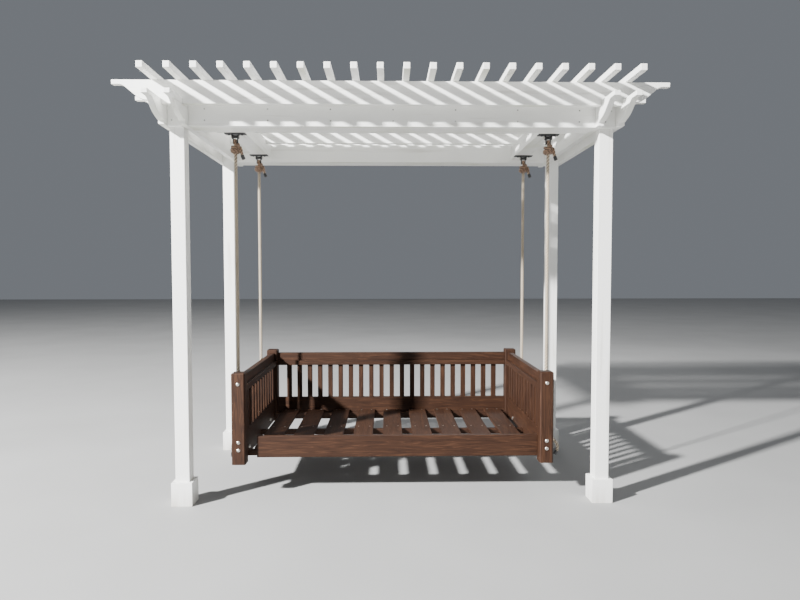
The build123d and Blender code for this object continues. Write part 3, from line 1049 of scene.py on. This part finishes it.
    def _mark_crowns(self, shape: Shape, old_verts: set[bmesh.types.BMVert], line: list[Vector]) -> None:
        """Store on each new vertex its distance from the rope's line, as a share of the rope's radius.

        Args:
            shape: Shape that holds the strand.
            old_verts: Vertices of the older strands.
            line: Points of the rope's line.
        """
        layers = shape.bm.verts.layers.float
        crown = layers.get("strand_crown") or layers.new("strand_crown")
        middle = KDTree(len(line))
        for index, point in enumerate(line):
            middle.insert(point, index)
        middle.balance()
        for vert in shape.bm.verts:
            if vert not in old_verts:
                near, _, distance = middle.find(vert.co)
                vert[crown] = min(1.0, distance / self._radius_at(near))


def new_curve(name: str, kind: str, points: list[Vector]) -> bpy.types.Curve:
    """Start a curve with one spline.

    Args:
        name: Name of the curve.
        kind: Kind of the spline.
        points: Points of the spline.

    Returns:
        The curve.
    """
    curve = bpy.data.curves.new(name, "CURVE")
    curve.dimensions = "3D"
    spline = curve.splines.new(kind)
    spline.points.add(len(points) - 1)
    for target, source in zip(spline.points, points):
        target.co = (*source, 1.0)
    return curve


def meshed(curve: bpy.types.Curve) -> bpy.types.Mesh:
    """Turn a curve into a mesh.

    Args:
        curve: The curve, which is removed.

    Returns:
        Its mesh.
    """
    holder = bpy.data.objects.new(curve.name, curve)
    mesh = bpy.data.meshes.new_from_object(holder)
    bpy.data.objects.remove(holder)
    bpy.data.curves.remove(curve)
    return mesh


def smooth_line(controls: list[Vector]) -> list[Vector]:
    """Points along a smooth line through a rope's route.

    Args:
        controls: Control points of the route.

    Returns:
        Points read from the route's smooth spline.
    """
    curve = new_curve("route", "NURBS", controls)
    spline = curve.splines[0]
    spline.order_u = 3
    spline.use_endpoint_u = True
    spline.resolution_u = 16
    mesh = meshed(curve)
    points = [vert.co.copy() for vert in mesh.vertices]
    bpy.data.meshes.remove(mesh)
    return points


def even_steps(points: list[Vector], step: float) -> list[Vector]:
    """Points at even distances along a line.

    Args:
        points: The line's points.
        step: Distance between the new points.

    Returns:
        The evenly spaced points.
    """
    lengths = [0.0]
    for first, second in zip(points, points[1:]):
        lengths.append(lengths[-1] + (second - first).length)
    count = max(2, round(lengths[-1] / step))
    result, index = [], 0
    for place in range(count + 1):
        target = lengths[-1] * place / count
        while index < len(points) - 2 and lengths[index + 1] < target:
            index += 1
        span = lengths[index + 1] - lengths[index]
        share = (target - lengths[index]) / span if span > 1e-9 else 0.0
        result.append(points[index].lerp(points[index + 1], min(max(share, 0.0), 1.0)))
    return result


def around(centre: Vector, radius: float, angle: float, height: float) -> Vector:
    """Point at a radius, an angle and a height round an upright axis."""
    return Vector((centre.x + radius * math.cos(angle), centre.y + radius * math.sin(angle), height))


def wrap_points(
    centre: Vector, radius: float, heights: Pair, turns: int, start: float, way: float
) -> list[Vector]:
    """Control points of wraps that climb or fall round a standing rope.

    Args:
        centre: Middle of the wraps, in X and Y.
        radius: Radius of the wraps' centre line.
        heights: Heights of the first and the last point.
        turns: Number of wraps.
        start: Angle of the first point.
        way: Sign of the turning direction.

    Returns:
        The control points.
    """
    steps = turns * WRAP_STEPS
    corner = radius / math.cos(math.pi / WRAP_STEPS)
    first, last = heights
    points = []
    for step in range(steps + 1):
        angle = start + way * math.tau * step / WRAP_STEPS
        points.append(around(centre, corner, angle, first + (last - first) * step / steps))
    return points


def arch_points(centre: Vector, radius: float, up: float) -> list[Vector]:
    """Control points of a half turn over or under a pin that lies along X.

    Args:
        centre: Middle of the pin.
        radius: Radius of the bend.
        up: 1 for a bend over the pin, -1 for one under it.

    Returns:
        The control points, from the rear side to the front side.
    """
    corner = radius / math.cos(math.pi / WRAP_STEPS)
    points = []
    for step in range(WRAP_STEPS // 2 + 1):
        angle = math.tau * step / WRAP_STEPS
        points.append(centre + Vector((0.0, corner * math.cos(angle), up * corner * math.sin(angle))))
    return points


def rod(radius: float, length: float) -> list[Pair]:
    """Profile of a plain round rod."""
    return [(0.0, 0.0), (radius, 0.0), (radius, length), (0.0, length)]


@dataclass
class Hardware(Assembly):
    """Hanger brackets, yokes and bolts.

    Attributes:
        pivot_z: Height of the pivot bolts.
        rope_x: Distance of the hangers from the middle.
        rope_y: Distance of the hangers from the middle, front to rear.
        plate_base_z: Underside of the brackets' plates.
        easings: Widths of the brackets' and the yokes' eased edges.
        ear_face: Distance of the ears' outer faces from a hanger's middle.
        shank_inset: How far a pivot bolt's shank stops inside its solid's ends.
        pivot_shank: Radius of a pivot bolt's shank.
        pivot_head: Corner radius and height of its heads.
        rope_shank: Radius of a rope bolt's shank.
        rope_nut: Corner radius and height of its nut.
        rope_head: Corner radius and height of its head.
        head_inset: How far that head's base lies inside the solid's end.
        rope_washer: Radii and heights of its washer.
        lag_offset: Distance of a lag screw from a hanger's middle.
        lag_washer: Radii and heights of a lag screw's washer.
        lag_head: Corner radius and height of its head.
        lag_coat: Finish of the lag screws.
        nylon: Finish of the bushings.
        bore: Radius of the bushings' bore.
        bushings: Start, stop and radius of each bushing and washer along the pivot bolt.
        end_board: Distance of an end panel's outer and inner face from the middle.
        post_bolts: Heights of the carriage bolts on the bed's corner posts.
        dome: Radii and heights of a carriage bolt's head.
    """

    pivot_z: float = 2.391
    rope_x: float = 1.050
    rope_y: float = 0.385
    plate_base_z: float = 2.407
    easings: Pair = (0.0008, 0.0006)
    ear_face: float = 0.0240
    shank_inset: float = 0.002
    pivot_shank: float = 0.006
    pivot_head: Pair = (0.0100, 0.0060)
    rope_shank: float = 0.0078
    rope_nut: Pair = (0.0130, 0.0105)
    rope_head: Pair = (0.0130, 0.0108)
    head_inset: float = 0.011
    rope_washer: tuple[Pair, ...] = (
        (0.0, 0.0), (0.0168, 0.0), (0.0170, 0.0008), (0.0165, 0.0030), (0.0, 0.0032),
    )
    lag_offset: float = 0.044
    lag_washer: tuple[Pair, ...] = ((0.0, 0.0), (0.0105, 0.0), (0.0105, 0.0015), (0.0, 0.0016))
    lag_head: Pair = (0.0075, 0.0050)
    lag_coat: DarkCoat = DarkCoat("black_lag_screw", (0.022, 0.022, 0.023), 0.36, 300.0)
    nylon: DarkCoat = DarkCoat("black_nylon", (0.018, 0.018, 0.019), 0.55, 260.0)
    bore: float = 0.0063
    bushings: tuple[Triple, ...] = (
        (-0.0188, -0.0172, 0.0112), (-0.0118, 0.0118, 0.0098), (0.0172, 0.0188, 0.0112),
    )
    end_board: Pair = (1.0245, 0.9865)
    post_bolts: Triple = (0.762, 0.381, 0.330)
    dome: tuple[Pair, ...] = (
        (0.0, -0.001), (0.0118, -0.001), (0.0122, 0.0006), (0.0108, 0.0030), (0.0078, 0.0052),
        (0.0040, 0.0064), (0.0, 0.0068),
    )

    def build(self) -> None:
        """Build all the hardware."""
        self._steel("hanger_brackets", "frame", self.easings[0])
        for end, sign in ENDS.items():
            self._steel(f"yokes_{end}", f"{end}_ropes", self.easings[1])
            self._bushings(end, sign * self.rope_y)
        self._pivot_bolts()
        self._rope_bolts()
        self._lag_screws()
        self._carriage_bolts()

    def _steel(self, node: str, body: str, easing: float) -> None:
        """Dress a coated steel node."""
        self.dress_copy(f"{node}_steel", node, body, "hanger_steel", DarkCoat(), easing)

    def _bushings(self, end: str, y: float) -> None:
        """Build the nylon bushings and washers that the yokes turn on.

        Args:
            end: Front or rear.
            y: Place of that end's pivot bolts.
        """
        shape = self.shape(f"yoke_bushings_{end}", self.nylon)
        for x in (-self.rope_x, self.rope_x):
            for start, stop, radius in self.bushings:
                section = [(self.bore, start), (radius, start), (radius, stop), (self.bore, stop)]
                shape.turned(Vector((x, y, self.pivot_z)), Vector((1.0, 0.0, 0.0)), section, ring=True)
        shape.finish_piece(f"{end}_ropes", "hanger_steel", smooth_angle=30)

    def _pivot_bolts(self) -> None:
        """Build the pivot bolts through the brackets' ears."""
        shape = self.shape("pivot_bolts_zinc", ZincPlate())
        along = Vector((1.0, 0.0, 0.0))
        for low, high in solid_boxes("pivot_bolts"):
            middle = (low + high) / 2
            shank = rod(self.pivot_shank, high.x - low.x - 2 * self.shank_inset)
            shape.turned(Vector((low.x + self.shank_inset, middle.y, middle.z)), along, shank)
            for sign in SIDES.values():
                face = Vector((middle.x + sign * self.ear_face, middle.y, middle.z))
                shape.hexagon(face, along * sign, *self.pivot_head)
        shape.finish_piece("frame", "bolt_zinc", "pivot_bolts", smooth_angle=30)

    def _rope_bolts(self) -> None:
        """Build the bolts, washers and nuts that carry the rope loops."""
        shape = self.shape("rope_bolts_zinc", ZincPlate())
        for low, high in solid_boxes("rope_bolts"):
            outboard = 1.0 if low.x > 0 else -1.0
            inner, outer = (low.x, high.x) if outboard > 0 else (high.x, low.x)
            y, z = (low.y + high.y) / 2, (low.z + high.z) / 2
            along = Vector((outboard, 0.0, 0.0))
            board_outer, board_inner = (outboard * face for face in self.end_board)
            shape.turned(Vector((inner, y, z)), along, rod(self.rope_shank, abs(outer - inner)))
            shape.turned(Vector((board_outer, y, z)), along, self.rope_washer, 32)
            shape.hexagon(Vector((board_inner, y, z)), -along, *self.rope_nut)
            head_base = outer - outboard * self.head_inset
            shape.hexagon(Vector((head_base, y, z)), along, *self.rope_head)
        shape.finish_piece("bed", "bolt_zinc", "rope_bolts", smooth_angle=30)

    def _lag_screws(self) -> None:
        """Build the lag screws that hold each bracket's plate up to its beam."""
        shape = self.shape("hanger_lag_screws", self.lag_coat)
        down = Vector((0.0, 0.0, -1.0))
        hangers = [(x, y) for x in (-self.rope_x, self.rope_x) for y in (-self.rope_y, self.rope_y)]
        for x, y in hangers:
            for offset in (-self.lag_offset, self.lag_offset):
                place = Vector((x + offset, y, self.plate_base_z))
                shape.turned(place, down, self.lag_washer)
                shape.hexagon(place + down * self.lag_washer[2][1], down, *self.lag_head)
        shape.finish_piece("frame", "hanger_steel", smooth_angle=30)

    def _carriage_bolts(self) -> None:
        """Build the domed carriage bolts on the outer faces of the bed's corner posts."""
        shape = self.shape("bed_carriage_bolts", ZincPlate())
        for end, sign in ENDS.items():
            for side in SIDES:
                low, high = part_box(f"bed_post_{end}_{side}")
                face = low.y if sign < 0 else high.y
                for height in self.post_bolts:
                    place = Vector(((low.x + high.x) / 2, face, height))
                    shape.turned(place, Vector((0.0, sign, 0.0)), self.dome)
        shape.finish_piece("bed", "bolt_zinc", smooth_angle=40)


@dataclass
class Screws(Assembly):
    """Small screw heads over the timber joints.

    Attributes:
        radius: Radius of a head.
        sides: Steps of a head's full turn.
        head: Profile of a head, with radii as shares of its radius.
        post_x: Distance of the posts from the middle.
        post_y: Distance of the posts from the middle, front to rear.
        beam_margin: Distance of the outermost screws from a cross beam's ends.
        beam_columns: Columns of screws along it.
        beam_rises: Heights of a column's screws over its underside.
        post_spots: Steps along it and heights of the screws over each post.
        side_rises: Heights of the screws in a side beam over its underside.
        side_steps: Steps of those screws along it from a post's middle.
        spreads: How far slat screws and mattress screws may stray.
        board_shares: Places of the screws across a mattress board, as shares of its width.
        painted: Finish of the beams' screws.
        coated: Finish of the slats' screws.
        dull: Finish of the mattress boards' screws.
    """

    radius: float = 0.0055
    sides: int = 8
    head: tuple[Pair, ...] = (
        (0.0, -0.0010), (1.0, -0.0010), (0.94, 0.0007), (0.42, 0.0010), (0.30, 0.0002), (0.0, 0.0002),
    )
    post_x: float = 1.3435
    post_y: float = 0.630
    beam_margin: float = 0.10
    beam_columns: int = 7
    beam_rises: Pair = (0.035, 0.105)
    post_spots: tuple[Pair, ...] = ((-0.018, 0.036), (0.016, 0.102))
    side_rises: Pair = (0.036, 0.104)
    side_steps: Pair = (-0.024, 0.024)
    spreads: Pair = (0.004, 0.003)
    board_shares: Pair = (0.2, 0.8)
    painted: DarkCoat = DarkCoat("painted_screw", (0.24, 0.24, 0.225), 0.50, 300.0)
    coated: DarkCoat = DarkCoat("coated_screw", (0.11, 0.10, 0.085), 0.50, 300.0)
    dull: ZincPlate = ZincPlate((0.50, 0.48, 0.44), (0.30, 0.27, 0.22), "dull_zinc")

    def build(self) -> None:
        """Drive every visible screw."""
        slat_spread, board_spread = self.spreads
        self._drive("beam_screws", "frame", "painted_beams", self.painted, self._beam_places())
        rafters = [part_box(f"rafter_{index}") for index in range(1, 6)]
        slats = self._crossings("shade_slats", rafters, (0.5,), slat_spread, TimberFrame.head_height)
        self._drive("slat_screws", "frame", "painted_slats", self.coated, slats)
        bearers = solid_boxes("bed_bearers")
        boards = self._crossings("mattress_boards", bearers, self.board_shares, board_spread)
        self._drive("mattress_board_screws", "bed", "bolt_zinc", self.dull, boards)

    def _drive(self, name: str, body: str, slot: str, finish: Finish, places: VectorPairs) -> None:
        """Add a head at each place.

        Args:
            name: Name of the finished piece.
            body: Body that carries it.
            slot: Material slot of its finish.
            finish: Finish of the heads.
            places: Points on the timber and directions out of it.
        """
        shape = self.shape(name, finish)
        head = [(self.radius * share, height) for share, height in self.head]
        for place, out in places:
            shape.turned(place, out, head, self.sides)
        shape.finish_piece(body, slot)

    def _beam_places(self) -> VectorPairs:
        """Screws in the cross beams' outer plies, over the posts and in the side beams.

        Returns:
            Points on the timber and directions out of it.
        """
        places = []
        for end, sign in ENDS.items():
            low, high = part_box(f"cross_beam_{end}_outer")
            start, length = low.x + self.beam_margin, high.x - low.x - 2 * self.beam_margin
            spots = [
                (start + length * index / (self.beam_columns - 1), rise)
                for index in range(self.beam_columns) for rise in self.beam_rises
            ]
            for x in (-self.post_x, self.post_x):
                spots += [(x + step, rise) for step, rise in self.post_spots]
            face = low.y if sign < 0 else high.y
            places += [(Vector((x, face, low.z + rise)), Vector((0.0, sign, 0.0))) for x, rise in spots]
        for side, sign in SIDES.items():
            low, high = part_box(f"side_beam_{side}_outer")
            face = low.x if sign < 0 else high.x
            places += [
                (Vector((face, y + step, low.z + rise)), Vector((sign, 0.0, 0.0)))
                for y in (-self.post_y, self.post_y) for rise in self.side_rises for step in self.side_steps
            ]
        return places

    def _crossings(
        self, boards: str, under: VectorPairs, shares: tuple[float, ...], spread: float, sunk: float = 0.0
    ) -> VectorPairs:
        """Screws down through boards where they cross the timbers under them.

        Args:
            boards: Name of the boards' node.
            under: Boxes of the timbers under them.
            shares: Places of the screws across a board, as shares of its width.
            spread: How far a screw may stray from its timber's middle.
            sunk: How far the boards' tops lie under the solid's top.

        Returns:
            Points on the timber and directions out of it.
        """
        up = Vector((0.0, 0.0, 1.0))
        places = []
        for low, high in solid_boxes(boards):
            for front, back in under:
                for share in shares:
                    y = (front.y + back.y) / 2 + random.uniform(-spread, spread)
                    places.append((Vector((low.x + share * (high.x - low.x), y, high.z - sunk)), up))
        return places


@dataclass
class Studio:
    """Camera, soft lights and pale floor.

    Attributes:
        eye: Place of the camera.
        right: Camera's right.
        up: Camera's up.
        ahead: Camera's line of sight.
        lens: Focal length.
        sensor: Width of the picture that it counts for, in millimetres.
        floor_half: Half the floor's width.
        floor_greys: Darkest and palest linear colour of the floor.
        aim: Point that the lights shine on.
        lights: Name, place, side and watts of each square light.
        sky: Colour of the even sky.
        sky_strength: Its strength.
    """

    eye: Triple = (-0.0417, -4.6286, 1.4877)
    right: Triple = (0.999772, -0.021321, -0.000715)
    up: Triple = (0.001669, 0.044784, 0.998995)
    ahead: Triple = (0.021268, 0.998769, -0.044809)
    lens: float = 28.125
    sensor: float = 36.0
    floor_half: float = 30.0
    floor_greys: tuple[Triple, Triple] = ((0.315, 0.315, 0.31), (0.345, 0.345, 0.34))
    aim: Triple = (0.0, 0.0, 1.3)
    lights: tuple[tuple[str, Triple, float, float], ...] = (
        ("key", (-10.4, -8.4, 8.2), 0.55, 12500.0),
        ("fill", (6.5, -5.0, 3.5), 5.0, 70.0),
        ("rim", (2.5, 7.0, 5.5), 5.0, 200.0),
    )
    sky: Triple = (0.80, 0.86, 0.95)
    sky_strength: float = 0.21

    def build(self) -> None:
        """Set up the camera, floor and lights."""
        self._camera()
        self._floor()
        for name, place, size, power in self.lights:
            self._light(name, Vector(place), size, power)
        world = bpy.data.worlds.new("sky")
        world.use_nodes = True
        background = world.node_tree.nodes["Background"]
        background.inputs["Color"].default_value = (*self.sky, 1.0)
        background.inputs["Strength"].default_value = self.sky_strength
        bpy.context.scene.world = world

    def _camera(self) -> None:
        """Place the camera."""
        data = bpy.data.cameras.new("camera")
        data.lens = self.lens
        data.sensor_width = self.sensor
        data.clip_end = 100.0
        turn = Matrix((self.right, self.up, -Vector(self.ahead))).transposed().to_4x4()
        bpy.context.scene.camera = add_object("camera", data, Matrix.Translation(self.eye) @ turn)

    def _floor(self) -> None:
        """Lay a wide pale floor."""
        bm = bmesh.new()
        bmesh.ops.create_grid(bm, x_segments=1, y_segments=1, size=self.floor_half)
        mesh = bpy.data.meshes.new("floor")
        bm.to_mesh(mesh)
        bm.free()
        graph = NodeGraph("pale_floor", by_board=False)
        dark, pale = self.floor_greys
        grey = graph.ramp(graph.noise(0.8, 2.0), (0.3, dark), (0.7, pale))
        mesh.materials.append(graph.finish({"Base Color": grey, "Roughness": 0.85}))
        add_object("floor", mesh)

    def _light(self, name: str, place: Vector, size: float, power: float) -> None:
        """Add a square area light aimed at the object.

        Args:
            name: Name of the light.
            place: Its place.
            size: Side of its square.
            power: Its power in watts.
        """
        data = bpy.data.lights.new(name, "AREA")
        data.size = size
        data.energy = power
        turn = (Vector(self.aim) - place).to_track_quat("-Z", "Y").to_matrix().to_4x4()
        add_object(name, data, Matrix.Translation(place) @ turn)


def main() -> None:
    """Build and dress the pergola."""
    logging.basicConfig(level=logging.INFO, format="%(name)s: %(message)s")
    random.seed(7)
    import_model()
    paints = Paintbox()
    Studio().build()
    TimberFrame(paints).build()
    for end, fore in ENDS.items():
        for side, out in SIDES.items():
            Rope(paints, end, side, out * Hardware.rope_x, fore * Hardware.rope_y).build()
    Hardware(paints).build()
    Screws(paints).build()
    SwingBed(paints).build()


if __name__ == "__main__":
    main()
